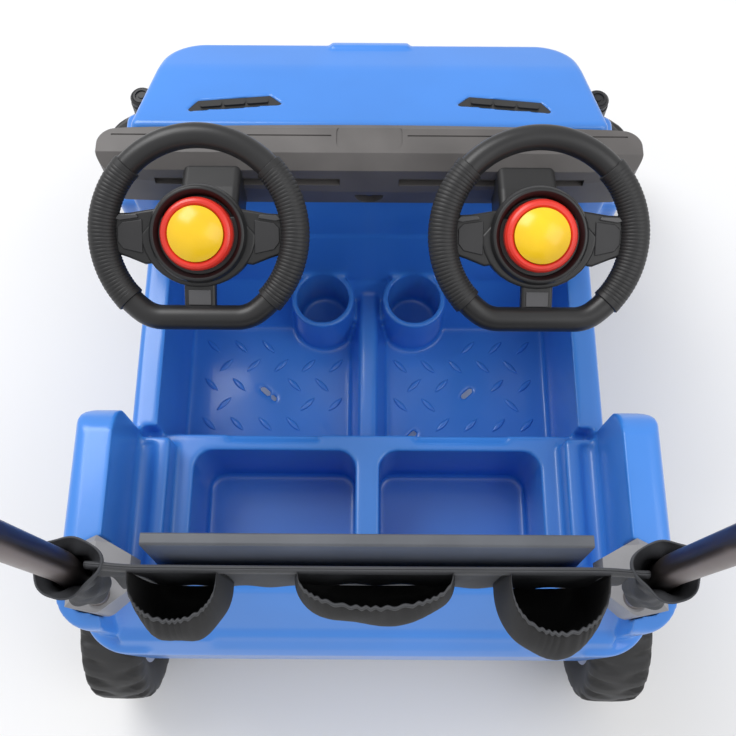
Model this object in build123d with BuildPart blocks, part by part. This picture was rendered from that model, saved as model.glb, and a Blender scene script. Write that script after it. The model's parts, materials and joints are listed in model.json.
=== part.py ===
"""Two-seat push-along ride-on wagon styled as an open car. Millimetres, +Z up, +Y towards the front.

The origin is on the floor under the middle of the whole object, push handle and front wheels included.
"""

import os
from math import atan, cos, degrees, radians, sin

from build123d import *

# ---------------------------------------------------------------- driving dimensions
HALF_LENGTH = 560.0  # front bumper face and rear side of the handle grip
WALL = 6.0  # moulded plastic wall

FLOOR_TOP = 140.0  # footwell floor
UNDERSIDE = 110.0  # lowest edge of the body
SILL_TOP = 325.0  # door sill
SEAT_TOP = 290.0  # bench surface under the lid
FENDER_TOP = 450.0  # rear fenders, used as arm-rests
SILL_X = 306.0  # outer face of the sills
CABIN_X = 270.0  # inner face of the cabin sides
FENDER_IN, FENDER_OUT = 290.0, 337.0
SEAT_FRONT_Y = -47.0
RAIL_X, RAIL_TOP = 250.0, 332.0  # rails each side of the bench, with the lid between them
TOE_Y = 228.0  # front end of the cabin
REAR_Y = -327.0  # rear face of the body

WHEEL_R = 120.0
REAR_TREAD_W, FRONT_TREAD_W = 80.0, 62.0
REAR_WHEEL_X, REAR_AXLE_Y = 332.0, -258.0
AXLE_R = 6.0
RIM_R = 72.0
RUNNING = 0.05  # radial clearance of every turning fit

STEM_X, STEM_Y = 315.0, 405.0  # caster swivel axes
TRAIL = 38.0
CASTER_TURN = 37.0  # degrees from straight ahead, each caster turned outwards
CROWN_Z = 254.0  # top of the caster fork
STEM_R = 8.0
SOCKET_TOP = 384.0

STEER_X, STEER_Y, STEER_Z = 189.0, 112.0, 545.0
STEER_TILT = 28.0  # column from vertical, leaning back to the children
RIM_RADIUS, RIM_SECTION = 107.0, 14.0
FLAT_DROP = 93.0  # centre of the rim's flat bottom below the hub
HUB_R = 54.0
RING_R, BUTTON_R = 40.0, 30.5

HINGE_Y, HINGE_Z = -226.0, 297.4  # seat lid hinge
LID_LENGTH, LID_HALF_X, LID_THICK = 163.0, 246.0, 14.0
LID_OPEN = 85.0  # degrees from closed to the pose shown

DASH_X = 329.0
HANDLE_R, TUBE_WALL = 12.7, 1.5
HANDLE_X, HANDLE_Y = 247.0, -272.0
GRIP_R = 16.0
HANDLE_TOP_Z = 1005.0

os.makedirs("parts", exist_ok=True)


# ---------------------------------------------------------------- helpers
def save(piece, name):
    """Label one finished piece and write its STEP file."""
    piece.label = name
    export_step(piece, f"parts/{name}.step")


def side_prism(points, x_low, x_high, radius=0.0):
    """A closed (y, z) outline run from x_low to x_high, with every edge rounded by radius."""
    with BuildPart() as prism:
        with BuildSketch(Plane.YZ.offset(x_low)):
            with BuildLine():
                Polyline(*points, close=True)
            make_face()
        extrude(amount=x_high - x_low)
        if radius:
            fillet(prism.edges(), radius)
    return prism.part


def plan_prism(points, z_low, z_high, radius=0.0):
    """A closed (x, y) outline run from z_low to z_high, with every edge rounded by radius."""
    with BuildPart() as prism:
        with BuildSketch(Plane.XY.offset(z_low)):
            with BuildLine():
                Polyline(*points, close=True)
            make_face()
        extrude(amount=z_high - z_low)
        if radius:
            fillet(prism.edges(), radius)
    return prism.part


def arc_prism(points, radii, x_low, x_high):
    """A closed (y, z) outline run along X; its inner corners, all but the first and last point, are arcs."""
    with BuildPart() as prism:
        with BuildSketch(Plane.YZ.offset(x_low)):
            with BuildLine():
                FilletPolyline(*points, radius=radii)
                Line(points[-1], points[0])
            make_face()
        extrude(amount=x_high - x_low)
    return prism.part


def corner_block(low, high, front_r, rear_r, top_r):
    """A box whose two upright corners at high x, and all top edges but the one at low x, are rounded."""
    with BuildPart() as body:
        with BuildSketch(Plane.XY.offset(low[2])):
            with BuildLine():
                FilletPolyline((low[0], low[1]), (high[0], low[1]), (high[0], high[1]), (low[0], high[1]),
                               radius=[rear_r, front_r])
                Line((low[0], high[1]), (low[0], low[1]))
            make_face()
        extrude(amount=high[2] - low[2])
        fillet([e for e in body.faces().sort_by(Axis.Z)[-1].edges() if e.center().X > low[0] + 1], top_r)
    return body.part


def block(low, high, radius=0.0, upright=0.0):
    """A box between two corners; radius rounds every edge, upright only the vertical ones."""
    size = [b - a for a, b in zip(low, high)]
    with BuildPart() as box:
        with Locations([(low[0] + size[0] / 2, low[1] + size[1] / 2, low[2] + size[2] / 2)]):
            Box(*size)
        if upright:
            fillet(box.edges().filter_by(Axis.Z), upright)
        if radius:
            fillet(box.edges(), radius)
    return box.part


def cylinder_x(radius, x_low, x_high, y, z):
    """A round bar along X."""
    with BuildPart() as bar:
        with BuildSketch(Plane.YZ.offset(x_low)):
            with Locations((y, z)):
                Circle(radius)
        extrude(amount=x_high - x_low)
    return bar.part


def cylinder_z(radius, x, y, z_low, z_high):
    """A round post along Z."""
    with BuildPart() as post:
        with BuildSketch(Plane.XY.offset(z_low)):
            with Locations((x, y)):
                Circle(radius)
        extrude(amount=z_high - z_low)
    return post.part


def turned(points, axis_x=0.0, axis_y=0.0):
    """A closed (r, z) outline revolved about the vertical line through (axis_x, axis_y)."""
    with BuildPart() as lathe:
        with BuildSketch(Plane.XZ):
            with BuildLine():
                Polyline(*points, close=True)
            make_face()
        revolve(axis=Axis.Z)
    return lathe.part.moved(Location((axis_x, axis_y, 0)))


def mirrored(piece):
    """The same piece on the other side of the middle plane."""
    return mirror(piece, about=Plane.YZ)


def both(piece):
    """A piece and its mirror image."""
    return [piece, mirrored(piece)]


# ---------------------------------------------------------------- handle tube, sockets and grip
socket_foot = (-HANDLE_X - 46, HANDLE_Y + 2, 408)
knee = (-HANDLE_X, HANDLE_Y, 700)
shoulder = (-HANDLE_X, HANDLE_Y, 915)
corner = (-HANDLE_X, GRIP_R - HALF_LENGTH, HANDLE_TOP_Z)
left_side = [socket_foot, knee, shoulder, corner]
right_side = [(-x, y, z) for x, y, z in reversed(left_side)]
foot_dir = Vector(*knee) - Vector(*socket_foot)

with BuildPart() as handle_tube:
    with BuildLine() as tube_path:
        FilletPolyline(*left_side, *right_side, radius=[150, 90, 60, 60, 90, 150])
    with BuildSketch(Plane(origin=socket_foot, z_dir=foot_dir)):
        Circle(HANDLE_R)
        Circle(HANDLE_R - TUBE_WALL, mode=Mode.SUBTRACT)
    sweep()
save(handle_tube.part, "handle_tube")

with BuildPart() as socket_bore:
    with BuildSketch(Plane(origin=socket_foot, z_dir=foot_dir)):
        Circle(HANDLE_R)
    extrude(amount=120)

with BuildPart() as handle_grip:
    with BuildSketch(Plane.YZ.offset(-165)):
        with Locations((corner[1], corner[2])):
            Circle(GRIP_R)
            Circle(HANDLE_R, mode=Mode.SUBTRACT)
    extrude(amount=330)
    fillet(handle_grip.edges().filter_by(GeomType.CIRCLE).group_by(SortBy.RADIUS)[-1], 2.5)
save(handle_grip.part, "handle_grip")

BRACKET_TOP = 464.0
bracket_outline = [(-320, -222), (-293, -208), (-256, -228), (-256, -266), (-284, -291), (-319, -284)]
bracket_blank = plan_prism(bracket_outline, 404, BRACKET_TOP)
with BuildPart() as bracket_shape:
    add(bracket_blank)
    fillet(bracket_shape.edges().filter_by(Axis.Z).group_by(Axis.Y)[0], 16)
    fillet(bracket_shape.edges().filter_by(Axis.Z).group_by(Axis.X)[0], 12)
    chamfer(bracket_shape.faces().sort_by(Axis.Z)[-1].edges(), 6)
    with BuildSketch(Plane.XZ.offset(320)):
        with BuildLine():
            Polyline((-296, BRACKET_TOP + 2), (-240, BRACKET_TOP + 2), (-240, 442), close=True)
        make_face()
    extrude(amount=-140, mode=Mode.SUBTRACT)
SCREW_X, SCREW_Y = -304.0, -234.0
screw_hole = cylinder_z(2.5, SCREW_X, SCREW_Y, 424, BRACKET_TOP)
with BuildPart() as handle_bracket:
    add(bracket_shape.part)
    add(socket_bore.part, mode=Mode.SUBTRACT)
    add(screw_hole, mode=Mode.SUBTRACT)
save(handle_bracket.part, "handle_bracket_left")
save(mirrored(handle_bracket.part), "handle_bracket_right")

screw = turned([(0, 424), (2.5, 424), (2.5, BRACKET_TOP), (6.5, BRACKET_TOP), (6.0, BRACKET_TOP + 2.2),
                (3.5, BRACKET_TOP + 3.6), (0, BRACKET_TOP + 4.0)], SCREW_X, SCREW_Y)
with BuildPart() as bracket_screws:
    for piece in both(screw):
        add(piece)
save(bracket_screws.part, "bracket_screws")

# ---------------------------------------------------------------- caster sockets and stem bosses
socket_solid = turned([(STEM_R + RUNNING, 268), (24, 268), (24, 296), (19, 302), (16.5, SOCKET_TOP),
                       (STEM_R + RUNNING, SOCKET_TOP)], -STEM_X, STEM_Y)
save(socket_solid, "caster_socket_left")
save(mirrored(socket_solid), "caster_socket_right")
socket_plug = turned([(0, 268), (24, 268), (24, 296), (19, 302), (0, 302)], -STEM_X, STEM_Y)

# ---------------------------------------------------------------- body shell
tub = side_prism([(-292, UNDERSIDE), (170, UNDERSIDE), (TOE_Y + 6, 200), (TOE_Y + 6, SILL_TOP), (-292, SILL_TOP)],
                 -SILL_X, SILL_X, 12)
cabin = side_prism([(SEAT_FRONT_Y, FLOOR_TOP), (165, FLOOR_TOP), (212, 215), (TOE_Y, 340), (SEAT_FRONT_Y, 340)],
                   -CABIN_X, CABIN_X)
floor_relief = side_prism([(SEAT_FRONT_Y + 6, 100), (166, 100), (166, FLOOR_TOP - WALL),
                           (SEAT_FRONT_Y + 6, FLOOR_TOP - WALL)], -CABIN_X + 8, CABIN_X - 8)
sill_relief = block((CABIN_X + 6, SEAT_FRONT_Y + WALL, 100), (SILL_X - WALL, 222, SILL_TOP - WALL))
seat_space = block((-FENDER_IN, -234, SEAT_TOP), (FENDER_IN, SEAT_FRONT_Y, 340))

arm_top = corner_block((FENDER_IN, -306, 196), (FENDER_OUT, -52, FENDER_TOP), 24, 34, 17)
arm_side = arc_prism([(-52, 190), (-52, 452), (-262, 452), (-306, 414), (-306, 190)], [48, 60, 24], FENDER_IN - 2,
                     FENDER_OUT + 2)
with BuildPart() as fender:
    add(arm_top)
    add(arm_side, mode=Mode.INTERSECT)
    add(corner_block((FENDER_IN - 30, REAR_Y, 172), (FENDER_OUT + 6, -75, 322), 16, 60, 9))
fender_relief = side_prism([(-80, 180), (-80, 400), (-112, 436), (-200, 436), (-200, 396), (-280, 396), (-290, 340),
                            (-290, 180)], FENDER_IN + 6, FENDER_OUT - 11)
wheel_house = block((FENDER_IN + 6, -265, 172), (FENDER_OUT, -90, 312))
arch = cylinder_x(134, FENDER_IN - 2, FENDER_OUT + 40, REAR_AXLE_Y, 120)

rear_outline = [(-234, UNDERSIDE), (-234, 400), (-242, 408), (-262, 406), (-300, 342), (-312, 336),
                (REAR_Y, 304), (REAR_Y, 172), (-300, UNDERSIDE)]
rear_wall = side_prism(rear_outline, -FENDER_IN - 2, FENDER_IN + 2, 3)
rear_relief = side_prism([(-242, 100), (-242, 396), (-258, 396), (-294, 336), (REAR_Y + 8, 300), (REAR_Y + 8, 180),
                          (-300, 130), (-300, 100)], -FENDER_IN + 8, FENDER_IN - 8)
rear_panel = side_prism([(-304, 345), (-345, 345), (-345, 309), (REAR_Y, 309), (-311, 331)], -182, 182)

bin_shape = block((16, -226, FLOOR_TOP + 10), (226, -69, SEAT_TOP + 10), upright=24)
under_bins = block((-FENDER_IN + 12, -228, 100), (FENDER_IN - 12, -55, FLOOR_TOP + 4))
seat_side_relief = block((232, -226, 100), (FENDER_IN - 8, -60, SEAT_TOP - WALL))
hinge_strip = block((-RAIL_X, -234, SEAT_TOP - 1), (RAIL_X, -214, SEAT_TOP + 8))
seat_rail = block((RAIL_X, -236, SEAT_TOP - 12), (FENDER_IN + 8, -62, RAIL_TOP), radius=5)
rail_groove = block((RAIL_X + 20, -228, RAIL_TOP - 5), (FENDER_IN - 3, -70, RAIL_TOP + 5))
rim_notch = block((63, -56, SEAT_TOP - 5), (185, -40, SEAT_TOP + 5))

cowl = side_prism([(TOE_Y, 262), (300, 262), (300, 462), (TOE_Y, 440)], -SILL_X, SILL_X, 5)
cowl_relief = side_prism([(TOE_Y + WALL, 250), (330, 250), (330, 455), (TOE_Y + WALL, 432)],
                         -SILL_X + WALL, SILL_X - WALL)
fascia = side_prism([(280, 262), (505, 262), (512, 330), (492, 384), (280, 400)], -272, 272, 10)
fascia_relief = side_prism([(240, 250), (499, 250), (504, 330), (488, 376), (240, 392)], -264, 264)
front_fender = block((262, TOE_Y + 10, 262), (335, 384, 392), radius=12)
front_fender_relief = block((250, TOE_Y + 18, 250), (329, 372, 384))
stem_lug = block((260, 368, 268), (344, 438, 300), upright=14)
bumper_lug = block((-230, 490, 262), (230, 520, 277))

toe_relief = side_prism([(168, 100), (240, 100), (240, 256), (228, 256), (220, 212), (172, 132)], -264, 264)
seat_front_relief = side_prism([(-62, 100), (-53, 100), (-53, SEAT_TOP - WALL), (-62, SEAT_TOP - WALL)], -262, 262)
divider_relief = block((-9, -220, 100), (9, -70, SEAT_TOP - WALL))
with BuildPart() as centre_tunnel:
    with BuildSketch(Plane.XZ.offset(-215)):
        with BuildLine():
            Polyline((-29, 134), (29, 134), (13, 196), (-13, 196), close=True)
        make_face()
    extrude(amount=215 - SEAT_FRONT_Y + 2)
    fillet(centre_tunnel.edges().filter_by(Axis.Y).group_by(Axis.Z)[-1], 8)

CUP_X, CUP_Y, CUP_R, CUP_TOP = 67.0, 176.0, 37.5, 232.0
cup_boss = cylinder_z(CUP_R + 9, CUP_X, CUP_Y, 134, CUP_TOP)
cup_hole = cylinder_z(CUP_R, CUP_X, CUP_Y, 146, CUP_TOP + 120)

PIN_R, PIN_IN, PIN_OUT = 5.0, 226.0, 270.0
hinge_bore = cylinder_x(PIN_R + RUNNING, RAIL_X - 5, PIN_OUT + 2, HINGE_Y, HINGE_Z)
drain_spots = [(150, 60, 40), (60, -12, 45), (-60, -2, -45), (-150, 58, -40)]

with BuildPart() as body_shell:
    add(tub)
    add([*both(fender.part), rear_wall, cowl, fascia, *both(front_fender), *both(stem_lug), bumper_lug])
    add([cabin, seat_space], mode=Mode.SUBTRACT)
    add(hinge_strip, mode=Mode.SUBTRACT)
    add([*both(seat_rail), centre_tunnel.part])
    add([*both(rail_groove)], mode=Mode.SUBTRACT)
    add([*both(bin_shape), under_bins, floor_relief, *both(sill_relief)], mode=Mode.SUBTRACT)
    add([toe_relief, seat_front_relief, divider_relief], mode=Mode.SUBTRACT)
    add([*both(fender_relief), rear_relief, rear_panel, *both(seat_side_relief)], mode=Mode.SUBTRACT)
    add([*both(wheel_house), *both(rim_notch), *both(arch)], mode=Mode.SUBTRACT)
    add([cowl_relief, fascia_relief, *both(front_fender_relief)], mode=Mode.SUBTRACT)
    add(both(cup_boss))
    add([*both(cup_hole), *both(hinge_bore), *both(socket_plug)], mode=Mode.SUBTRACT)
    for plug in both(bracket_shape.part):
        add(plug, mode=Mode.SUBTRACT)
    for tube_end in both(socket_bore.part):
        add(tube_end, mode=Mode.SUBTRACT)
    for hole in both(screw_hole):
        add(hole, mode=Mode.SUBTRACT)
    with BuildSketch(Plane.XY.offset(FLOOR_TOP - 12)):
        for x, y, turn in drain_spots:
            with Locations(Location((x, y, 0), (0, 0, turn))):
                SlotOverall(34, 6)
    extrude(amount=20, mode=Mode.SUBTRACT)
    add(cylinder_x(AXLE_R, -340, 340, REAR_AXLE_Y, WHEEL_R), mode=Mode.SUBTRACT)
save(body_shell.part, "body_shell")

# ---------------------------------------------------------------- hood, vents and front face
HOOD_REAR_Y, HOOD_FRONT_Y = 294.0, 482.0
HOOD_HIGH, HOOD_LOW = (306.0, 476.0), (420.0, 441.0)  # (y, z) at the two ends of the long top slope
hood_slope = (HOOD_HIGH[1] - HOOD_LOW[1]) / (HOOD_LOW[0] - HOOD_HIGH[0])
hood_profile = arc_prism([(HOOD_REAR_Y, 380), (HOOD_REAR_Y, 462), HOOD_HIGH, HOOD_LOW, (487, 408), (489, 380)],
                         [6, 8, 120, 22], -330, 330)
hood_hollow_side = [(HOOD_REAR_Y - 5, 370), (HOOD_REAR_Y - 5, 456), (304, 467), (418, 433), (462, 412),
                    (474, 402), (476, 370)]
hood_bump = side_prism([(462, 410), (468, 423), (482, 414), (494, 396), (494, 380), (462, 380)], -56, 56, 5)
with BuildPart() as hood_blank:
    with BuildSketch(Plane.XY.offset(380)):
        with BuildLine():
            FilletPolyline((-306, HOOD_REAR_Y), (-276, HOOD_FRONT_Y), (276, HOOD_FRONT_Y), (306, HOOD_REAR_Y), radius=58)
            Line((306, HOOD_REAR_Y), (-306, HOOD_REAR_Y))
        make_face()
    extrude(amount=110)
    add(hood_profile, mode=Mode.INTERSECT)
    upper = [e for e in hood_blank.edges() if e.center().Z > 381 and e.center().Y > HOOD_REAR_Y + 3]
    fillet([e for e in upper if e.length < 400 or e.center().Y > HOOD_FRONT_Y - 1], 10)
hood_hollow = side_prism(hood_hollow_side, -262, 262)

VENT_X, VENT_Y, VENT_LENGTH, VENT_WIDTH, VENT_TURN = 174.0, 346.0, 124.0, 20.0, -7.0
vent_z = HOOD_HIGH[1] - (VENT_Y - HOOD_HIGH[0]) * hood_slope
vent_plane = Plane(Location((VENT_X, VENT_Y, vent_z), (-degrees(atan(hood_slope)), 0, VENT_TURN)))
with BuildPart() as vent_pocket:
    with BuildSketch(vent_plane):
        Trapezoid(VENT_LENGTH, VENT_WIDTH, 52)
    extrude(amount=12)
    with BuildSketch(vent_plane):
        Trapezoid(VENT_LENGTH, VENT_WIDTH, 52)
    extrude(amount=-7)
with BuildPart() as hood_vent:
    with BuildSketch(vent_plane.offset(-6)):
        Trapezoid(VENT_LENGTH, VENT_WIDTH, 52)
    extrude(amount=4)
    with BuildSketch(vent_plane.offset(-2)):
        with Locations((-30, 0), (0, 0), (30, 0)):
            RectangleRounded(27, 11, 3)
    extrude(amount=2.4)
save(hood_vent.part, "hood_vent_right")
save(mirrored(hood_vent.part), "hood_vent_left")

with BuildPart() as vent_seat:
    with BuildSketch(vent_plane.offset(-11)):
        Trapezoid(VENT_LENGTH + 14, VENT_WIDTH + 12, 52)
    extrude(amount=9)
with BuildPart() as hood:
    add(hood_blank.part)
    add(hood_hollow, mode=Mode.SUBTRACT)
    add([hood_bump])
    add([cowl, fascia, *both(front_fender)], mode=Mode.SUBTRACT)
    add([cowl_relief], mode=Mode.SUBTRACT)
    for seat in both(vent_seat.part):
        add(seat)
    for pocket in both(hood_vent.part):
        add(pocket, mode=Mode.SUBTRACT)
    for pocket in both(vent_pocket.part):
        add(pocket, mode=Mode.SUBTRACT)
save(hood.part, "hood")

# ---------------------------------------------------------------- front trim: grille, lamps, bumper
with BuildPart() as front_grille:
    add(side_prism([(480, 278), (514, 278), (521, 332), (480, 332)], -150, 150, 4))
    add(fascia, mode=Mode.SUBTRACT)
    add([block((-138, 511, z), (138, 530, z + 6)) for z in (286, 298, 310, 322)], mode=Mode.SUBTRACT)
save(front_grille.part, "front_grille")

with BuildPart() as lamp_blank:
    with BuildSketch(Plane.XZ.offset(-480)):
        with Locations((206, 305)):
            Circle(27)
    extrude(amount=-39)
    fillet(lamp_blank.edges().sort_by(Axis.Y)[-1], 6)
with BuildPart() as head_lamp:
    add(lamp_blank.part)
    add(fascia, mode=Mode.SUBTRACT)
save(head_lamp.part, "head_lamp_right")
save(mirrored(head_lamp.part), "head_lamp_left")

front_bumper = block((-252, 520, 262), (252, HALF_LENGTH, 300), radius=11)
save(front_bumper, "front_bumper")

# ---------------------------------------------------------------- dashboard
dash_outline = [(288, 466), (288, 500), (275, 510), (241, 510), (224, 497), (216, 462), (218, 432), (228, 432)]
with BuildPart() as dashboard:
    add(side_prism(dash_outline + [(229, 446)], -DASH_X, DASH_X, 1.5))
    with BuildSketch(Plane.XY.offset(400)) as dash_plan:
        with BuildLine():
            ThreePointArc((-DASH_X, 272), (0, 286), (DASH_X, 272))
            Line((DASH_X, 272), (DASH_X, 222))
            ThreePointArc((DASH_X, 222), (0, 216), (-DASH_X, 222))
            Line((-DASH_X, 222), (-DASH_X, 272))
        make_face()
        fillet(dash_plan.vertices(), 23)
    extrude(amount=150, mode=Mode.INTERSECT)
    add(cowl, mode=Mode.SUBTRACT)
    add(side_prism([(236, 440), (236, 490), (246, 503), (269, 503), (277, 496), (277, 440)], -DASH_X + 12,
                   DASH_X - 12), mode=Mode.SUBTRACT)
    add([block((46, 264, 508.5), (312, 266, 515)), block((-312, 264, 508.5), (-46, 266, 515))], mode=Mode.SUBTRACT)
    add(block((-40, 246, 508.5), (40, 280, 515), upright=10), mode=Mode.SUBTRACT)
    add(both(block((36, 205, 473), (262, 226, 484))), mode=Mode.SUBTRACT)
    with BuildSketch(Plane.XZ.offset(-200)):
        with Locations((0, 452)):
            Circle(18)
            with Locations((0, 12)):
                Rectangle(40, 20, mode=Mode.SUBTRACT)
    extrude(amount=-60, mode=Mode.SUBTRACT)
    add(cowl_relief, mode=Mode.SUBTRACT)
save(dashboard.part, "dashboard")

# ---------------------------------------------------------------- steering: local frame, hub axis along +Z
tilt = radians(STEER_TILT)
steer_right = Plane(origin=(STEER_X, STEER_Y, STEER_Z), x_dir=(1, 0, 0), z_dir=(0, -sin(tilt), cos(tilt))).location
steer_left = Plane(origin=(-STEER_X, STEER_Y, STEER_Z), x_dir=(1, 0, 0), z_dir=(0, -sin(tilt), cos(tilt))).location
SHAFT_R, SHAFT_END = 10.0, -64.0
HUB_LOW, HUB_TOP = -15.0, 12.0
RING_SEAT, RING_TOP = -2.0, 23.0
BUTTON_LOW, BUTTON_SHOULDER, BUTTON_TOP = 6.0, 24.0, 35.0
SPRING_R, SPRING_WIRE, SPRING_TURNS = 9.0, 0.9, 4

with BuildPart() as column_boss:
    Cylinder(27, 46, align=(Align.CENTER, Align.CENTER, Align.MAX))
    fillet(column_boss.edges(), 3)
column_offset = Location((0, 0, -21))
column_bore = Solid.make_cylinder(SHAFT_R + RUNNING, 60).moved(Location((0, 0, -72)))
arm = side_prism([(232, 500), (232, 436), (190, 436), (150, 456), (134, 486), (146, 508), (196, 506)], 154, 224, 8)
with BuildPart() as column_mount:
    add(column_boss.part.moved(steer_right * column_offset))
    add(arm)
    add([dashboard.part, cowl], mode=Mode.SUBTRACT)
    add(block((140, 228, 400), (240, 260, 520)), mode=Mode.SUBTRACT)
    add(column_bore.moved(steer_right), mode=Mode.SUBTRACT)
column_right = column_mount.part.solids().sort_by(SortBy.VOLUME)[-1]
save(column_right, "column_mount_right")
save(mirrored(column_right), "column_mount_left")

# The rim's centre line: one long arc, a flat bottom and two tangent corner arcs.
CORNER_R = 38.0
corner_x = ((RIM_RADIUS - CORNER_R) ** 2 - (FLAT_DROP - CORNER_R) ** 2) ** 0.5
bend = Vector(corner_x, CORNER_R - FLAT_DROP)
bend_unit = bend.normalized()
join = bend_unit * RIM_RADIUS
middle = bend + (Vector(0, -1) + bend_unit).normalized() * CORNER_R
with BuildPart() as rim_tube:
    with BuildLine():
        Line((0, -FLAT_DROP), (bend.X, -FLAT_DROP))
        ThreePointArc((bend.X, -FLAT_DROP), (middle.X, middle.Y), (join.X, join.Y))
        ThreePointArc((join.X, join.Y), (0, RIM_RADIUS), (-join.X, join.Y))
        ThreePointArc((-join.X, join.Y), (-middle.X, middle.Y), (-bend.X, -FLAT_DROP))
        Line((-bend.X, -FLAT_DROP), (0, -FLAT_DROP))
    with BuildSketch(Plane(origin=(0, -FLAT_DROP, 0), z_dir=(1, 0, 0))):
        Circle(RIM_SECTION)
    sweep()

with BuildPart() as hub_and_spokes:
    with BuildSketch(Plane.XY.offset(HUB_LOW)):
        Circle(HUB_R)
    extrude(amount=HUB_TOP - HUB_LOW)
    fillet(hub_and_spokes.edges(), 5)
    with BuildSketch(Plane.XY.offset(-10)):
        with Locations((72, 4)):
            Rectangle(62, 46)
        with Locations((-72, 4)):
            Rectangle(62, 46)
        with Locations((0, -68)):
            Rectangle(35, 46)
    extrude(amount=17)

trim_height = 3.0
with BuildPart() as spoke_trim:
    with BuildSketch(Plane.XY.offset(7)):
        with BuildLine():
            Polyline((57, 22), (90, 19), (92, 2), (60, -14), close=True)
        make_face()
        with BuildLine():
            Polyline((-57, 22), (-90, 19), (-92, 2), (-60, -14), close=True)
        make_face()
        with Locations((0, -68)):
            Rectangle(26, 20)
    extrude(amount=trim_height)

with BuildPart() as steering_wheel:
    add([rim_tube.part, hub_and_spokes.part])
    with Locations((0, 0, RING_SEAT)):
        Cylinder(RING_R, 40, align=(Align.CENTER, Align.CENTER, Align.MIN), mode=Mode.SUBTRACT)
    with Locations((0, 0, SHAFT_END)):
        Cylinder(SHAFT_R, HUB_LOW - SHAFT_END + 2, align=(Align.CENTER, Align.CENTER, Align.MIN))

GRIP_THICKNESS, GRIP_HALF_ANGLE = 2.2, 44.0


def grip_sleeve(middle_angle):
    """A sleeve round the rim tube, centred on middle_angle."""
    start, end = radians(middle_angle - GRIP_HALF_ANGLE), radians(middle_angle + GRIP_HALF_ANGLE)
    centre = radians(middle_angle)
    on_rim = [(RIM_RADIUS * cos(a), RIM_RADIUS * sin(a)) for a in (start, centre, end)]
    with BuildPart() as sleeve:
        with BuildLine():
            ThreePointArc(*on_rim)
        with BuildSketch(Plane(origin=(*on_rim[0], 0), z_dir=(-sin(start), cos(start), 0))):
            Circle(RIM_SECTION + GRIP_THICKNESS)
            Circle(RIM_SECTION, mode=Mode.SUBTRACT)
        sweep()
    return sleeve.part


with BuildPart() as rim_grips:
    add([grip_sleeve(0), grip_sleeve(180)])
    add(hub_and_spokes.part, mode=Mode.SUBTRACT)
    add(spoke_trim.part, mode=Mode.SUBTRACT)
with BuildPart() as trimmed_trim:
    add(spoke_trim.part)
    add(rim_tube.part, mode=Mode.SUBTRACT)

horn_ring = turned([(0, RING_SEAT), (RING_R, RING_SEAT), (RING_R, RING_TOP - 6), (RING_R - 2, RING_TOP - 1.5),
                    (RING_R - 4.5, RING_TOP), (BUTTON_R + 2.5, RING_TOP), (BUTTON_R + 0.5, RING_TOP - 2),
                    (BUTTON_R + 0.5, 1), (0, 1)])
dome_rise = BUTTON_TOP - BUTTON_SHOULDER
dome_radius = (BUTTON_R**2 + dome_rise**2) / (2 * dome_rise)
dome_z = BUTTON_TOP - dome_radius + (dome_radius**2 - (BUTTON_R / 2) ** 2) ** 0.5
with BuildPart() as horn_button:
    with BuildSketch(Plane.XZ):
        with BuildLine():
            Polyline((0, 16), (BUTTON_R - 4, 16), (BUTTON_R - 4, BUTTON_LOW), (BUTTON_R, BUTTON_LOW),
                     (BUTTON_R, BUTTON_SHOULDER))
            ThreePointArc((BUTTON_R, BUTTON_SHOULDER), (BUTTON_R / 2, dome_z), (0, BUTTON_TOP))
            Line((0, BUTTON_TOP), (0, 16))
        make_face()
    revolve(axis=Axis.Z)

with BuildPart() as horn_spring:
    with BuildLine() as coil:
        Helix(pitch=(15 - 2 * SPRING_WIRE) / SPRING_TURNS, height=15 - 2 * SPRING_WIRE, radius=SPRING_R)
    with BuildSketch(Plane(origin=coil.line @ 0, z_dir=coil.line % 0)):
        Circle(SPRING_WIRE)
    sweep()
spring_seat = Location((0, 0, 1 + SPRING_WIRE))

for side, place in (("left", steer_left), ("right", steer_right)):
    save(steering_wheel.part.moved(place), f"steering_wheel_{side}")
    save(trimmed_trim.part.moved(place), f"spoke_trim_{side}")
    save(rim_grips.part.moved(place), f"rim_grips_{side}")
    save(horn_ring.moved(place), f"horn_ring_{side}")
    save(horn_button.part.moved(place), f"horn_button_{side}")
    save(horn_spring.part.moved(place * spring_seat), f"horn_spring_{side}")

# ---------------------------------------------------------------- seat lid, made closed and turned open
lid_slots = [(-222, -169), (-87, -32), (36, 89), (176, 232)]
with BuildPart() as closed_lid:
    add(block((-LID_HALF_X, HINGE_Y - LID_THICK / 2, HINGE_Z - LID_THICK / 2),
              (LID_HALF_X, HINGE_Y + LID_LENGTH, HINGE_Z + LID_THICK / 2)))
    fillet(closed_lid.edges().filter_by(Axis.X).group_by(Axis.Y)[0], LID_THICK / 2 - 0.2)
    fillet(closed_lid.edges().filter_by(Axis.X).group_by(Axis.Y)[-1], 3)
    for low, high in lid_slots:
        with BuildSketch(Plane.XY.offset(HINGE_Z + 1.5)):
            with Locations(((low + high) / 2, HINGE_Y + 13)):
                RectangleRounded(high - low, 56, 9)
        extrude(amount=10, mode=Mode.SUBTRACT)
    add([cylinder_x(PIN_R, PIN_IN, PIN_OUT, HINGE_Y, HINGE_Z), cylinder_x(PIN_R, -PIN_OUT, -PIN_IN, HINGE_Y, HINGE_Z)],
        mode=Mode.SUBTRACT)
hinge_axis = Axis((0, HINGE_Y, HINGE_Z), (1, 0, 0))
save(closed_lid.part.rotate(hinge_axis, LID_OPEN), "seat_lid")
with BuildPart() as lid_hinge_pins:
    for pin in both(cylinder_x(PIN_R, PIN_IN, PIN_OUT, HINGE_Y, HINGE_Z)):
        add(pin)
save(lid_hinge_pins.part, "lid_hinge_pins")

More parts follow.
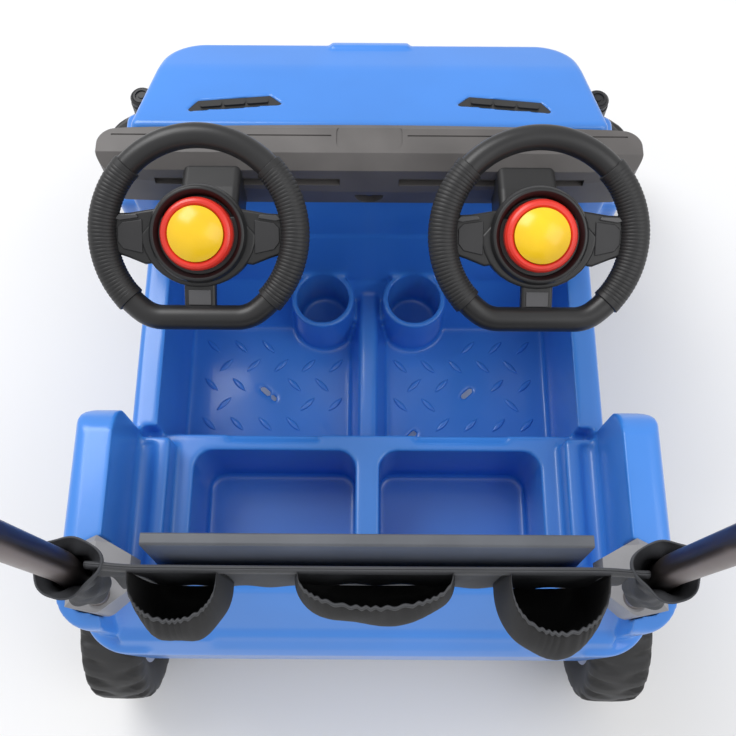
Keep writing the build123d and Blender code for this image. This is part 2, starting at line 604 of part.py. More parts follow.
# ---------------------------------------------------------------- wheels: local frame, axle along +Z, outside at +Z
def tyre(width):
    """A crowned tyre; its tread blocks are surface detail and not modelled here."""
    half = width / 2
    profile = [(RIM_R, half - 9), (84, half - 3.5), (102, half), (111, half - 1), (117.5, half - 7), (WHEEL_R, half - 20)]
    outline = profile + [(r, -z) for r, z in reversed(profile)]
    return turned(outline)


def rim(width, hub_half):
    """A dished disc with a hub and six windows, inside a flat barrel."""
    half = width / 2 - 9
    outline = [(AXLE_R + RUNNING, -hub_half), (15, -hub_half), (18, -5), (60, -1), (RIM_R - 6, -half), (RIM_R, -half),
               (RIM_R, half), (RIM_R - 6, half), (58, 7), (24, 5), (20, hub_half - 3), (17, hub_half),
               (AXLE_R + RUNNING, hub_half)]
    with BuildPart() as disc:
        add(turned(outline))
        with BuildSketch(Plane.XY.offset(-20)):
            with PolarLocations(40, 6, start_angle=30):
                SlotOverall(26, 15)
        extrude(amount=45, mode=Mode.SUBTRACT)
    return disc.part


HUB_HALF = 34.0
rear_tyre, rear_rim = tyre(REAR_TREAD_W), rim(REAR_TREAD_W, HUB_HALF)
front_tyre, front_rim = tyre(FRONT_TREAD_W), rim(FRONT_TREAD_W, HUB_HALF)
rear_right = Plane(origin=(REAR_WHEEL_X, REAR_AXLE_Y, WHEEL_R), x_dir=(0, 1, 0), z_dir=(1, 0, 0)).location
save(rear_tyre.moved(rear_right), "rear_tyre_right")
save(rear_rim.moved(rear_right), "rear_rim_right")
save(mirrored(rear_tyre.moved(rear_right)), "rear_tyre_left")
save(mirrored(rear_rim.moved(rear_right)), "rear_rim_left")

axle_end = REAR_WHEEL_X + HUB_HALF + 3
save(cylinder_x(AXLE_R, -axle_end, axle_end, REAR_AXLE_Y, WHEEL_R), "rear_axle")
cap_local = turned([(0, HUB_HALF + 3), (AXLE_R, HUB_HALF + 3), (AXLE_R, HUB_HALF + 0.6), (15, HUB_HALF + 0.6),
                    (14, HUB_HALF + 4), (9, HUB_HALF + 7), (0, HUB_HALF + 8)])
save(cap_local.moved(rear_right), "axle_cap_right")
save(mirrored(cap_local.moved(rear_right)), "axle_cap_left")

# ---------------------------------------------------------------- casters: local frame, swivel axis at the origin
LEG_IN, LEG_OUT = 36.0, 42.0
caster_right = Location((STEM_X, STEM_Y, 0), (0, 0, -CASTER_TURN))
leg_outline = [(-18, CROWN_Z), (26, CROWN_Z), (TRAIL + 15, 122), (TRAIL + 9, 108), (TRAIL - 9, 108), (TRAIL - 15, 122)]
with BuildPart() as fork:
    add([side_prism(leg_outline, LEG_IN, LEG_OUT, 1.5), side_prism(leg_outline, -LEG_OUT, -LEG_IN, 1.5)])
    add(block((-LEG_OUT, -18, CROWN_Z - 8), (LEG_OUT, 26, CROWN_Z), radius=1.5))
    add(cylinder_z(20, 0, 0, CROWN_Z - 2, 267.6))
    add(cylinder_x(AXLE_R, -60, 60, TRAIL, WHEEL_R), mode=Mode.SUBTRACT)
    add(cylinder_z(STEM_R, 0, 0, CROWN_Z - 20, 280), mode=Mode.SUBTRACT)
stem = turned([(0, CROWN_Z - 8), (STEM_R, CROWN_Z - 8), (STEM_R, SOCKET_TOP + 0.6), (15, SOCKET_TOP + 0.6),
               (15.5, SOCKET_TOP + 9), (13.5, SOCKET_TOP + 11.5), (12, SOCKET_TOP + 11), (11, SOCKET_TOP + 12.5),
               (8.5, SOCKET_TOP + 12.5), (8, SOCKET_TOP + 10.5), (4.5, SOCKET_TOP + 10.5), (4, SOCKET_TOP + 12),
               (0, SOCKET_TOP + 12)])
front_axle = turned([(0, -LEG_OUT - 6), (9, -LEG_OUT - 6), (9, -LEG_OUT), (AXLE_R, -LEG_OUT), (AXLE_R, LEG_OUT),
                     (9, LEG_OUT), (9, LEG_OUT + 5), (5, LEG_OUT + 7), (0, LEG_OUT + 7)])
front_wheel = caster_right * Plane(origin=(0, TRAIL, WHEEL_R), x_dir=(0, 1, 0), z_dir=(1, 0, 0)).location
for name, piece in {"caster_fork": fork.part.moved(caster_right), "caster_stem": stem.moved(caster_right),
                    "front_axle": front_axle.moved(front_wheel), "front_tyre": front_tyre.moved(front_wheel),
                    "front_rim": front_rim.moved(front_wheel)}.items():
    save(piece, f"{name}_right")
    save(mirrored(piece), f"{name}_left")

# ---------------------------------------------------------------- organiser hung between the handle tubes
BAND_TOP, BAND_LOW, BAND_HALF = 692.0, 562.0, 231.0
SLEEVE_IN, SLEEVE_OUT = 13.0, 17.0
SLEEVE_LOW_Z, SLEEVE_TOP_Z = 530.0, 686.0
band = block((-BAND_HALF, HANDLE_Y - 2.5, BAND_LOW), (BAND_HALF, HANDLE_Y + 2.5, BAND_TOP))
save(band, "organiser_band")


def on_tube(z):
    """The point of the left tube's axis at height z, below the knee."""
    return Vector(*socket_foot) + foot_dir * ((z - socket_foot[2]) / (knee[2] - socket_foot[2]))


with BuildPart() as organiser_sleeve:
    with BuildSketch(Plane(origin=on_tube(SLEEVE_LOW_Z), z_dir=foot_dir)):
        Circle(SLEEVE_OUT)
        Circle(SLEEVE_IN, mode=Mode.SUBTRACT)
    extrude(amount=(on_tube(SLEEVE_TOP_Z) - on_tube(SLEEVE_LOW_Z)).length)
save(organiser_sleeve.part, "organiser_sleeve_left")
save(mirrored(organiser_sleeve.part), "organiser_sleeve_right")

POCKET_WALL = 3.0
for name, x, half, depth, low in (("pocket_left", -160, 36, 54, 572), ("pocket_centre", 7, 63, 37, 582),
                                  ("pocket_right", 159, 41, 62, 566)):
    with BuildPart() as pocket:
        for grow, z_low in ((0, low), (-POCKET_WALL, low + POCKET_WALL)):
            with BuildSketch(Plane.XY.offset(z_low)):
                with Locations((x, HANDLE_Y - 2.5)):
                    Ellipse(half + grow, depth + grow)
                    with Locations((0, depth)):
                        Rectangle(2 * half + 2, 2 * depth, mode=Mode.SUBTRACT)
            extrude(amount=BAND_TOP - 8 - z_low, mode=Mode.SUBTRACT if grow else Mode.ADD)
    save(pocket.part, name)
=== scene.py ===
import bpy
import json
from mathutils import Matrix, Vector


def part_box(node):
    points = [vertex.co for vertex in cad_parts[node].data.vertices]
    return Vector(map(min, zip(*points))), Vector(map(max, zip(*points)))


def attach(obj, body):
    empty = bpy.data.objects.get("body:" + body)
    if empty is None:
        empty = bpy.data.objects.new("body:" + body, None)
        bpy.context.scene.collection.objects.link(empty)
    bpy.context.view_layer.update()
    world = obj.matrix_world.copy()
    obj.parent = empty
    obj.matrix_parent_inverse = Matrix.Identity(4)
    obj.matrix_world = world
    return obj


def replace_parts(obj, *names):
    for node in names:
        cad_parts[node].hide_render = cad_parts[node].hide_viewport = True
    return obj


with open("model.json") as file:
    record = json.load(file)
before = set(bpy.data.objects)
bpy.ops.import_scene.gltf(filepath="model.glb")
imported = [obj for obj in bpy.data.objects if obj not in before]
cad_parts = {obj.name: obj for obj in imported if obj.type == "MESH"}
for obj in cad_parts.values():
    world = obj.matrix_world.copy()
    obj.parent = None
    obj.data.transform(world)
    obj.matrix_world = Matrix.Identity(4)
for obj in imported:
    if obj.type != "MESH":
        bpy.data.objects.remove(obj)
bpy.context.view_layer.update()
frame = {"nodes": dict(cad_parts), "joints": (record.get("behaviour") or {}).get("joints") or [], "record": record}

import json
from math import cos, exp, hypot, pi, radians, sin, sqrt, tau
import bpy
from mathutils import Matrix, Vector

scene = bpy.context.scene
nodes = frame["nodes"]

# ---------------------------------------------------------------- camera: from above and behind
CAMERA_PLACE = Vector((0.0, -0.365, 1.438))
PITCH = radians(19.7)  # from straight down, towards the front
ROLL = radians(0.35)
FOCAL_RATIO = 900 / 736  # focal length over picture width
camera = bpy.data.cameras.new("camera")
camera.sensor_width = 36.0
camera.lens = camera.sensor_width * FOCAL_RATIO
camera.clip_start = 0.05
eye = bpy.data.objects.new("camera", camera)
scene.collection.objects.link(eye)
aim = Matrix.Rotation(PITCH, 4, "X") @ Matrix.Rotation(ROLL, 4, "Z")
eye.matrix_world = Matrix.Translation(CAMERA_PLACE) @ aim
scene.camera = eye


# ---------------------------------------------------------------- materials
class Finish:
    """One procedural material, built from a few named effects on a Principled shader."""

    def __init__(self, name, colour, roughness, metallic=0.0, **sockets):
        self.material = bpy.data.materials.new(name)
        self.material.use_nodes = True
        self.tree = self.material.node_tree
        self.tree.nodes.clear()
        self.shader = self.add("ShaderNodeBsdfPrincipled")
        self.output = self.add("ShaderNodeOutputMaterial")
        self.join(self.shader, "BSDF", self.output, "Surface")
        self.shader.inputs["Metallic"].default_value = metallic
        for socket, value in sockets.items():
            self.shader.inputs[socket.replace("_", " ")].default_value = value
        self.place = self.add("ShaderNodeTexCoord")
        self.colour, self.roughness, self.bumps = colour, roughness, []
        self.shader.inputs["Base Color"].default_value = (*colour, 1)
        self.shader.inputs["Roughness"].default_value = roughness

    def add(self, kind):
        return self.tree.nodes.new(kind)

    def join(self, source, out, target, into):
        self.tree.links.new(source.outputs[out], target.inputs[into])

    def noise(self, scale, detail=3.0):
        """Noise in the piece's own coordinates."""
        texture = self.add("ShaderNodeTexNoise")
        texture.inputs["Scale"].default_value = scale
        texture.inputs["Detail"].default_value = detail
        self.join(self.place, "Object", texture, "Vector")
        return texture

    def mottle(self, dark, light, scale):
        """The colour drifts softly between two tints."""
        texture, ramp = self.noise(scale), self.add("ShaderNodeValToRGB")
        ramp.color_ramp.elements[0].position, ramp.color_ramp.elements[1].position = 0.3, 0.7
        ramp.color_ramp.elements[0].color = (*[c * dark for c in self.colour], 1)
        ramp.color_ramp.elements[1].color = (*[min(1.0, c * light) for c in self.colour], 1)
        self.join(texture, "Fac", ramp, "Fac")
        self.join(ramp, "Color", self.shader, "Base Color")
        return self

    def smudge(self, spread, scale):
        """Roughness varies round its middle value."""
        texture, band = self.noise(scale, 5.0), self.add("ShaderNodeMapRange")
        band.inputs["To Min"].default_value = max(0.02, self.roughness - spread)
        band.inputs["To Max"].default_value = self.roughness + spread
        self.join(texture, "Fac", band, "Value")
        self.join(band, "Result", self.shader, "Roughness")
        return self

    def grain(self, scale, strength=0.1, distance=0.0005):
        """Moulded texture: one more layer of bump on top of those before it."""
        bump = self.add("ShaderNodeBump")
        bump.inputs["Strength"].default_value = strength
        bump.inputs["Distance"].default_value = distance
        self.join(self.noise(scale, 2.0), "Fac", bump, "Height")
        if self.bumps:
            self.join(self.bumps[-1], "Normal", bump, "Normal")
        self.bumps.append(bump)
        self.join(bump, "Normal", self.shader, "Normal")
        return self


def blue_plastic():
    """Glossy polyethylene: a fine grain over the slow waves of a blow moulding."""
    finish = Finish("blue_plastic", (0.045, 0.225, 0.70), 0.3, Coat_Weight=0.3, Coat_Roughness=0.12)
    finish.mottle(0.93, 1.07, 5).smudge(0.05, 9)
    return finish.grain(700, 0.06, 0.0004).grain(9, 0.12, 0.004).material


def plain_plastic(name, colour, roughness, grain=900, strength=0.16):
    """Plastic, rubber, foam or cloth, told apart by colour, roughness and grain."""
    finish = Finish(name, colour, roughness).mottle(0.86, 1.14, 14).smudge(0.06, 25)
    return finish.grain(grain, strength).material


def metal(name, colour, roughness):
    """Painted or plated metal."""
    return Finish(name, colour, roughness, metallic=1.0).mottle(0.9, 1.1, 30).smudge(0.07, 60).material


FINISHES = {
    "body_blue": blue_plastic(),
    "trim_black": plain_plastic("black_plastic", (0.018, 0.018, 0.019), 0.42),
    "dash_grey": plain_plastic("dash_plastic", (0.105, 0.098, 0.096), 0.5),
    "lid_grey": plain_plastic("lid_plastic", (0.11, 0.118, 0.135), 0.45),
    "bracket_grey": plain_plastic("bracket_plastic", (0.24, 0.24, 0.255), 0.38),
    "tube_brown": metal("tube_paint", (0.17, 0.14, 0.135), 0.35),
    "grip_foam": plain_plastic("foam", (0.018, 0.018, 0.02), 0.75, 350, 0.5),
    "steel": metal("zinc", (0.62, 0.62, 0.65), 0.28),
    "button_red": plain_plastic("red_plastic", (0.72, 0.035, 0.022), 0.28, 1200, 0.03),
    "button_yellow": plain_plastic("yellow_plastic", (0.93, 0.56, 0.012), 0.26, 1200, 0.03),
    "tyre_black": plain_plastic("tyre_plastic", (0.022, 0.022, 0.023), 0.55, 500, 0.3),
    "rim_grey": plain_plastic("rim_plastic", (0.36, 0.40, 0.52), 0.42),
    "organiser_fabric": plain_plastic("organiser_cloth", (0.055, 0.058, 0.066), 0.85, 1500, 0.6),
    "pocket_mesh": plain_plastic("pocket_cloth", (0.015, 0.015, 0.016), 0.8, 1500, 0.6),
    "organiser_binding": plain_plastic("binding_tape", (0.05, 0.052, 0.058), 0.6, 1400, 0.5),
    "wheel_black": plain_plastic("wheel_plastic", (0.014, 0.014, 0.015), 0.38, 900, 0.1),
    "wheel_panel": plain_plastic("wheel_panel_plastic", (0.024, 0.024, 0.026), 0.5),
    "wheel_gloss": plain_plastic("wheel_gloss_plastic", (0.05, 0.05, 0.053), 0.18),
    "wheel_tab": plain_plastic("wheel_tab_plastic", (0.07, 0.07, 0.075), 0.4),
    "grip_rubber": plain_plastic("grip_rubber", (0.012, 0.012, 0.013), 0.5, 900, 0.1),
    "lamp_white": plain_plastic("lamp_plastic", (0.78, 0.79, 0.82), 0.25, 1200, 0.03),
}
for entry in frame["record"]["subparts"]:
    mesh = nodes[entry["node"]].data
    mesh.materials.clear()
    mesh.materials.append(FINISHES[entry["material_slot"]])
    mesh.polygons.foreach_set("material_index", [0] * len(mesh.polygons))

# ---------------------------------------------------------------- building blocks for the detailed pieces
MM = 0.001


def mesh_piece(name, points, faces, finish, body):
    """A smooth-shaded mesh in the finish of one material slot, riding on a body."""
    mesh = bpy.data.meshes.new(name)
    mesh.from_pydata([tuple(point) for point in points], [], faces)
    mesh.validate()
    mesh.materials.append(FINISHES[finish])
    mesh.polygons.foreach_set("use_smooth", [True] * len(mesh.polygons))
    piece = bpy.data.objects.new(name, mesh)
    scene.collection.objects.link(piece)
    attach(piece, body)
    return piece


def strip_faces(rows, columns, wrap_rows=False, wrap_columns=False):
    """Faces of a grid of points stored row by row."""
    return [(row * columns + column, row * columns + (column + 1) % columns,
             (row + 1) % rows * columns + (column + 1) % columns, (row + 1) % rows * columns + column)
            for row in range(rows if wrap_rows else rows - 1)
            for column in range(columns if wrap_columns else columns - 1)]


def surface(rows, columns, shape, wrap_columns=False):
    """Points and faces of shape(across, down), both from 0 to 1."""
    last = columns if wrap_columns else columns - 1
    points = [shape(column / last, row / (rows - 1))
              for row in range(rows) for column in range(columns)]
    return points, strip_faces(rows, columns, wrap_columns=wrap_columns)


def cloth(name, rows, columns, shape, finish, thickness, wrap_columns=False):
    """A thin fabric surface on the chassis, given in mm."""
    points, faces = surface(rows, columns, shape, wrap_columns)
    piece = mesh_piece(name, [Vector(point) * MM for point in points], faces, finish, "chassis")
    weave = piece.modifiers.new("thickness", "SOLIDIFY")
    weave.thickness = thickness * MM
    weave.offset = 0
    return piece


def soft_edges(piece, width, segments=3):
    """Rounds every sharp edge of a piece; width in mm."""
    bevel = piece.modifiers.new("soft edges", "BEVEL")
    bevel.width = width * MM
    bevel.segments = segments
    bevel.limit_method = "ANGLE"
    bevel.harden_normals = True
    return piece


def slabs(outlines):
    """Points and faces of flat plates: (outline, low, high) each, outlines anticlockwise from above."""
    points, faces = [], []
    for outline, low, high in outlines:
        first, count = len(points), len(outline)
        above = first + count
        points += [(x, y, low) for x, y in outline] + [(x, y, high) for x, y in outline]
        faces.append(tuple(above + i for i in range(count)))
        faces.append(tuple(above - 1 - i for i in range(count)))
        faces += [(first + i, first + (i + 1) % count, above + (i + 1) % count, above + i)
                  for i in range(count)]
    return points, faces


def turned(profile, segments):
    """Points and faces of a (radius, height) profile turned about +Z."""
    points = [(radius * cos(tau * i / segments), radius * sin(tau * i / segments), height)
              for radius, height in profile for i in range(segments)]
    return points, strip_faces(len(profile), segments, wrap_columns=True)


def both_ways(outline):
    """An outline and its mirror image in x, both anticlockwise."""
    return [outline, [(-x, y) for x, y in reversed(outline)]]


# ---------------------------------------------------------------- organiser: band, sleeves and pockets
BAND_Y, BAND_HALF, BAND_TOP, BAND_LOW = -272.0, 231.0, 692.0, 562.0
FOOT_POINT, KNEE_POINT = Vector((-293, -270, 408)), Vector((-247, -272, 700))  # of the left handle tube
SLEEVE_TOP, SLEEVE_DROP, POCKET_TOP = 694.0, 158.0, 686.0


def band_shape(across, down):
    """The band: taut between the sleeves, with a slight sag, ripples and a pucker at each end."""
    x = BAND_HALF * (2 * across - 1)
    sag = 4.0 * (1 - (x / BAND_HALF) ** 2)
    ripple = 1.6 * sin(x * 0.055 + 1.1) * sin(pi * down) + 0.9 * sin(x * 0.13 + down * 4) * down
    pull = 2.5 * exp(-((abs(x) - BAND_HALF) / 26) ** 2) * sin(down * 9 + x * 0.02)
    drop = BAND_TOP - BAND_LOW - 8 * sin(pi * across) ** 2
    return x, BAND_Y + ripple + pull, BAND_TOP - sag - drop * down


def hem_shape(across, down):
    """Binding tape folded over the band's top edge."""
    x, y, z = band_shape(across, 0.0)
    angle = pi * (0.02 + 1.96 * down)
    return x, y - 2.9 * sin(angle), z - 5.5 + 7.2 * cos(angle)


def tube_axis(height):
    """The middle of the left handle tube at a height below its knee."""
    return FOOT_POINT.lerp(KNEE_POINT, (height - FOOT_POINT.z) / (KNEE_POINT.z - FOOT_POINT.z))


def sleeve_shape(side):
    """A loose loop round the tube, flared at its mouth and creased towards the band."""
    def shape(across, down):
        angle = tau * across
        centre = tube_axis(SLEEVE_TOP - SLEEVE_DROP * down)
        inward = max(0.0, cos(angle))
        radius = 16.2 + 8.5 * exp(-(down / 0.10) ** 2) + 3.0 * exp(-((1 - down) / 0.07) ** 2)
        radius += 1.5 * sin(3 * angle + 9 * down) + 1.1 * sin(5 * angle - 14 * down + 1)
        radius += inward ** 3 * (5 + 3 * sin(11 * down)) + 1.3 * sin(26 * down + 2 * sin(angle)) * inward
        x = centre.x + radius * cos(angle)
        height = centre.z + 3 * inward * sin(8 * down)
        return (x if side == "left" else -x), centre.y + radius * sin(angle), height
    return shape


def pocket_shape(middle, half, depth, low, phase):
    """A stretch pocket: gathered along its elastic top, full below and drawn in to the bottom seam."""
    def shape(across, down):
        turn = pi * across
        full = 0.80 + 0.28 * sin(pi * min(1.0, down * 1.25)) ** 0.8
        close = sqrt(max(0.0, 1 - max(0.0, (down - 0.72) / 0.28) ** 2))
        reach = depth * full * close * sin(turn) ** 0.75
        width = half * (0.97 + 0.07 * sin(pi * down)) * (0.55 + 0.45 * close ** 0.5)
        wave = sin(across * tau * 19 + 2 * sin(across * 23 + phase))
        gather = 0.9 * wave * exp(-down * 6) * sin(turn) ** 0.5
        slack = 1.8 * sin(across * 17 + phase + down * 5) * sin(pi * down) * sin(turn)
        droop = 7 * sin(turn) * (1 - down) ** 2
        return (middle - width * cos(turn), BAND_Y - 1.2 - reach - gather - slack,
                POCKET_TOP - droop - (POCKET_TOP - low) * down - 5 * sin(turn) * down)
    return shape


band = cloth("organiser_cloth_band", 26, 150, band_shape, "organiser_fabric", 1.6)
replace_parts(band, "organiser_band")
cloth("organiser_hem", 15, 150, hem_shape, "organiser_binding", 0.8)

for side in ("left", "right"):
    name, shape = f"organiser_cloth_sleeve_{side}", sleeve_shape(side)
    sleeve = cloth(name, 70, 64, shape, "organiser_fabric", 1.5, wrap_columns=True)
    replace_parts(sleeve, f"organiser_sleeve_{side}")

# middle, half width, depth, height of the bottom seam, phase of the folds, flat size
POCKETS = {
    "pocket_left": (-160, 38, 50, 572, 0.4, (0.165, 0.115)),
    "pocket_centre": (7, 66, 36, 584, 1.7, (0.165, 0.1)),
    "pocket_right": (159, 42, 60, 566, 2.6, (0.185, 0.12)),
}
for name, (middle, half, depth, low, phase, flat) in POCKETS.items():
    shape = pocket_shape(middle, half, depth, low, phase)
    pocket = cloth(f"cloth_{name}", 44, 130, shape, "pocket_mesh", 1.1)
    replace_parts(pocket, name)

    def elastic(across, down, shape=shape):
        """A round cord of gathered cloth along the pocket's lip."""
        x, y, z = shape(across, 0.0)
        angle = tau * down
        return x, y + 1.7 * cos(angle), z + 3.2 * sin(angle)

    points, faces = surface(10, 130, elastic)
    points = [Vector(point) * MM for point in points]
    mesh_piece(f"{name}_elastic", points, faces, "organiser_binding", "chassis")

# ---------------------------------------------------------------- steering wheels
RIM_BEND, RIM_FLAT_X, CORNER_R, FLAT_Y, SECTION_R = 107.0, 41.67, 38.0, -93.0, 14.0
CORNER_TURN = radians(37.15)
STRETCHES = (RIM_FLAT_X, CORNER_R * CORNER_TURN, RIM_BEND * (tau - 2 * CORNER_TURN))
RIM_LENGTH = 2 * STRETCHES[0] + 2 * STRETCHES[1] + STRETCHES[2]
ARC_START = STRETCHES[0] + STRETCHES[1]


def rim_at(distance):
    """The rim's centre line, from the middle of its flat bottom: x, y and the angle facing outwards."""
    half_way = RIM_LENGTH / 2
    if distance > half_way:
        x, y, angle = rim_at(RIM_LENGTH - distance)
        return -x, y, pi - angle
    if distance < STRETCHES[0]:
        return distance, FLAT_Y, -pi / 2
    if distance < ARC_START:
        angle = -pi / 2 + (distance - STRETCHES[0]) / CORNER_R
        return RIM_FLAT_X + CORNER_R * cos(angle), FLAT_Y + CORNER_R + CORNER_R * sin(angle), angle
    angle = -pi / 2 + CORNER_TURN + (distance - ARC_START) / RIM_BEND
    return RIM_BEND * cos(angle), RIM_BEND * sin(angle), angle


def rim_tube(start, end, count, radius_at, wrap=False):
    """Points and faces of a tube along the rim; radius_at(share along it) in mm."""
    around = 36
    points = []
    for i in range(count):
        share = i / (count if wrap else count - 1)
        x, y, angle = rim_at(start + (end - start) * share)
        radius = radius_at(share)
        for k in range(around):
            outwards, up = radius * cos(tau * k / around), radius * sin(tau * k / around)
            points.append((x + outwards * cos(angle), y + outwards * sin(angle), up))
    return points, strip_faces(count, around, wrap_rows=wrap, wrap_columns=True)


GRIP_TURN, GRIP_RIBS, COLLAR_SHARE = radians(44), 36, 0.043
GRIP_LENGTH = 164.0


def ribbed(share):
    """The grip's radius: smooth end collars with soft ribs between them."""
    collar = min(share, 1 - share) * GRIP_LENGTH
    if collar < 1.0:
        return 13.6 + 2.6 * sqrt(collar)
    if collar < 7.0:
        return 16.5
    along = (share - COLLAR_SHARE) / (1 - 2 * COLLAR_SHARE)
    return 15.8 + 0.6 * abs(sin(pi * GRIP_RIBS * along)) ** 0.6


# the hub is a turned (radius, height) profile, and the rest are outlines seen from the driver's side
HUB = [(0, -15), (50, -15), (54, -10), (55, 2), (54, 9), (51.5, 12.5), (49, 13), (46, 10), (43.6, 4),
       (42.6, -6), (0, -6)]
CHIN = [(64 * cos(pi + pi * k / 18), 59 * sin(pi + pi * k / 18)) for k in range(19)]
CHIN += [(46, 20), (-46, 20)]
WING = [(44, -32), (60, -34), (80, -26), (99, -20), (104, -4), (104, 8), (98, 22), (76, 23), (58, 26),
        (44, 28)]
WING_INSET = [(62, -22), (84, -17), (90, -9), (90, 7), (84, 13), (62, 16)]
WING_CHIP = [(66, 17.5), (86, 14.5), (92, 16), (88, 21), (68, 21.5)]
FOOT = [(-17.5, -50), (-17.5, -92), (17.5, -92), (17.5, -50)]
FOOT_INSET = [(-12.5, -79), (12.5, -79), (12.5, -62), (-12.5, -62)]


def placed(matrix, mesh):
    """The same points and faces, with the points moved by a matrix."""
    points, faces = mesh
    return [matrix @ Vector(point) for point in points], faces


def joined(*meshes):
    """Several sets of points and faces as one."""
    points, faces = [], []
    for more, ties in meshes:
        faces += [tuple(i + len(points) for i in face) for face in ties]
        points += more
    return points, faces


joints = {joint["name"]: joint for joint in frame["joints"]}
for side in ("left", "right"):
    turn, body = joints[f"steering_turn_{side}"], f"steering_{side}"
    axis, across = Vector(turn["axis"]).normalized(), Vector((1, 0, 0))
    local = Matrix((across, axis.cross(across), axis)).transposed().to_4x4()
    local = Matrix.Translation(Vector(turn["pos_m"])) @ local @ Matrix.Scale(MM, 4)
    ring = rim_tube(0, RIM_LENGTH, 240, lambda share: SECTION_R, wrap=True)
    rim = mesh_piece(f"wheel_rim_{side}", *placed(local, ring), "wheel_black", body)
    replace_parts(rim, f"steering_wheel_{side}")
    hub = mesh_piece(f"wheel_hub_{side}", *placed(local, turned(HUB, 96)), "wheel_black", body)
    soft_edges(hub, 0.8, 2)
    arms = slabs([(CHIN, -14, 5), (FOOT, -12, 2), *[(wing, -13, 3) for wing in both_ways(WING)]])
    soft_edges(mesh_piece(f"wheel_arms_{side}", *placed(local, arms), "wheel_black", body), 3.2, 4)
    insets = slabs([(inset, 0, 4.6) for inset in both_ways(WING_INSET)])
    trim = mesh_piece(f"wheel_insets_{side}", *placed(local, insets), "wheel_panel", body)
    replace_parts(soft_edges(trim, 1.4), f"spoke_trim_{side}")
    chips = slabs([(chip, 0, 6.2) for chip in both_ways(WING_CHIP)])
    soft_edges(mesh_piece(f"wheel_chips_{side}", *placed(local, chips), "wheel_gloss", body), 1.2)
    tab = slabs([(FOOT_INSET, 0, 3.4)])
    soft_edges(mesh_piece(f"wheel_tab_{side}", *placed(local, tab), "wheel_tab", body), 0.9)
    span = RIM_BEND * GRIP_TURN
    right_middle = ARC_START + RIM_BEND * (pi / 2 - CORNER_TURN)
    grips = joined(*[rim_tube(middle - span, middle + span, 460, ribbed)
                     for middle in (right_middle, RIM_LENGTH - right_middle)])
    grip = mesh_piece(f"wheel_grips_{side}", *placed(local, grips), "grip_rubber", body)
    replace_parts(grip, f"rim_grips_{side}")

# ---------------------------------------------------------------- raised grip pattern on the footwell floors
LUG_LENGTH, LUG_WIDTH, LUG_HEIGHT, LUG_STEP_X, LUG_STEP_Y = 29.0, 8.5, 1.7, 42.0, 62.0
FLOOR_Z, WELL_X, WELL_Y = 140.0, (44.0, 250.0), (-30.0, 148.0)
DRAINS, DRAIN_KEEP_OUT = ((150, 60), (60, -12)), 33.0
CUP_X, CUP_Y, CUP_KEEP_OUT = 67.0, 176.0, 62.0


def lug(middle, angle, mirror):
    """A low lens-shaped rib: rings that shrink towards a soft crest."""
    points, around = [], 28
    for share, height in ((1.0, -0.4), (0.93, 0.55), (0.72, 1.25), (0.36, 1.62)):
        for k in range(around):
            turn = tau * k / around
            along = LUG_LENGTH / 2 * share * cos(turn)
            over = LUG_WIDTH / 2 * share * sin(turn) * (1 - 0.45 * cos(turn) ** 2)
            x = middle[0] + along * cos(angle) - over * sin(angle)
            y = middle[1] + along * sin(angle) + over * cos(angle)
            points.append((mirror * x, y, FLOOR_Z + height * LUG_HEIGHT / 1.62))
    points.append((mirror * middle[0], middle[1], FLOOR_Z + LUG_HEIGHT + 0.1))
    faces = strip_faces(4, around, wrap_columns=True)
    faces += [(3 * around + k, 3 * around + (k + 1) % around, 4 * around) for k in range(around)]
    return points, [tuple(reversed(face)) for face in faces] if mirror < 0 else faces


def on_floor(x, y):
    """Whether a lug fits here, clear of the walls, the cup holder and the drain slots."""
    free = WELL_X[0] < x < WELL_X[1] and WELL_Y[0] < y < WELL_Y[1]
    off_drains = all(hypot(x - a, y - b) > DRAIN_KEEP_OUT for a, b in DRAINS)
    return free and hypot(x - CUP_X, y - CUP_Y) > CUP_KEEP_OUT and off_drains


for side, mirror in (("left", -1), ("right", 1)):
    rows = []
    for i in range(-1, 14):
        for j in range(-3, 6):
            place = (28 + LUG_STEP_X / 2 * i, 10 + LUG_STEP_Y / 2 * j)
            if (i + j) % 2 == 0 and on_floor(*place):
                rows.append(lug(place, radians(-45 if i % 2 else 45), mirror))
    points, faces = joined(*rows)
    mesh_piece(f"floor_lugs_{side}", [Vector(point) * MM for point in points], faces, "body_blue", "chassis")

# ---------------------------------------------------------------- tyres with a moulded tread
TREAD_STEPS, TREAD_BLOCKS, RIM_R = 288, 24, 72.0
TYRE_WIDTH = {"rear": 80.0, "front": 62.0}


def tread_profile(half, inner):
    """(radius, height, depth of the tread cut) across a tyre of this half width, the same on both sides."""
    side = [(inner, half - 9, 0), (84, half - 3.5, 0), (100, half, 0), (108, half - 0.3, 1.5),
            (113, half - 2.5, 3.2), (117, half - 7, 5.0), (118.6, half - 13, 5.0), (119.5, half * 0.42, 3.6),
            (120, half * 0.12, 0.4)]
    return [(radius, -height, depth) for radius, height, depth in side] + side[::-1]


def tyre_mesh(half, inner):
    """A crowned tyre with tapered cuts in from each side, alternating round the tread."""
    points = []
    profile = tread_profile(half, inner)
    for i in range(TREAD_STEPS):
        turn = tau * i / TREAD_STEPS
        for radius, height, depth in profile:
            shift = (0.5 if height > 0 else 0) + 0.012 * abs(height)
            phase = TREAD_BLOCKS * i / TREAD_STEPS + shift
            wave = abs((phase % 1) - 0.5) * 2
            cut = depth * min(1.0, max(0.0, (wave - 0.52) * 7))
            points.append(((radius - cut) * cos(turn), (radius - cut) * sin(turn), height))
    return points, strip_faces(TREAD_STEPS, len(profile), wrap_rows=True)


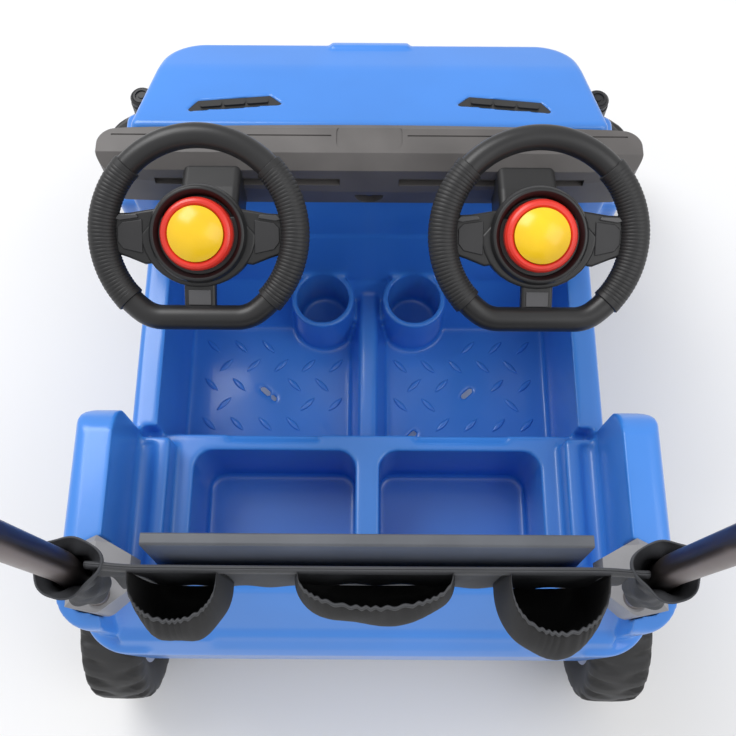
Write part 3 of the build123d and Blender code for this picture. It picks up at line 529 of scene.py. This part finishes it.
for end in ("rear", "front"):
    for side in ("left", "right"):
        spin = joints[f"{end}_wheel_spin_{side}"]
        low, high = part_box(f"{end}_tyre_{side}")
        axis, middle = Vector(spin["axis"]).normalized(), (low + high) / 2
        across = Vector((0, 0, 1))
        local = Matrix((across, axis.cross(across), axis)).transposed().to_4x4()
        local = Matrix.Translation(middle) @ local @ Matrix.Scale(MM, 4)
        shape = tyre_mesh(TYRE_WIDTH[end] / 2, RIM_R)
        name, body = f"treaded_tyre_{end}_{side}", f"{end}_wheel_{side}"
        tyre = mesh_piece(name, *placed(local, shape), "tyre_black", body)
        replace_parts(tyre, f"{end}_tyre_{side}")

# ---------------------------------------------------------------- soft moulded edges on the blue shell


SKIN_INSET = 0.5  # keeps the rounded skin clear of its neighbours


def softened(node, name, body, voxel, rounds):
    """A copy of a CAD piece with every edge rounded, as blow moulding leaves it; voxel in mm."""
    mesh = nodes[node].data.copy()
    piece = bpy.data.objects.new(name, mesh)
    scene.collection.objects.link(piece)
    remesh = piece.modifiers.new("remesh", "REMESH")
    remesh.mode, remesh.voxel_size, remesh.use_smooth_shade = "VOXEL", voxel * MM, True
    smooth = piece.modifiers.new("smooth", "SMOOTH")
    smooth.factor, smooth.iterations = 0.5, rounds
    inset = piece.modifiers.new("inset", "DISPLACE")
    inset.strength, inset.mid_level = -SKIN_INSET * MM, 0.0
    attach(piece, body)
    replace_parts(piece, node)
    return piece


softened("body_shell", "moulded_shell", "chassis", 3.0, 5)
softened("hood", "moulded_hood", "chassis", 2.5, 4)

# ---------------------------------------------------------------- floor and light
FLOOR = 6.0
bpy.ops.mesh.primitive_plane_add(size=FLOOR, location=(0, 0, -0.0005))
floor = bpy.context.active_object
floor.name = "floor"
floor.data.materials.append(Finish("paper", (0.86, 0.86, 0.865), 0.9).material)

world = bpy.data.worlds.new("world")
scene.world = world
world.use_nodes = True
world.node_tree.nodes["Background"].inputs["Color"].default_value = (1.0, 1.0, 1.0, 1)
world.node_tree.nodes["Background"].inputs["Strength"].default_value = 0.75


def softbox(name, place, aim, size, power):
    """A large square area light, pointed at a spot."""
    light = bpy.data.lights.new(name, "AREA")
    light.shape, light.size, light.energy = "SQUARE", size, power
    lamp = bpy.data.objects.new(name, light)
    scene.collection.objects.link(lamp)
    lamp.location = place
    lamp.rotation_euler = (Vector(aim) - Vector(place)).to_track_quat("-Z", "Y").to_euler()


softbox("key", (-1.3, 1.2, 2.6), (0, 0.1, 0.3), 1.6, 45)
softbox("fill", (1.6, -0.6, 2.2), (0, 0, 0.3), 1.8, 18)
scene.view_settings.view_transform = "Standard"
scene.view_settings.look = "None"
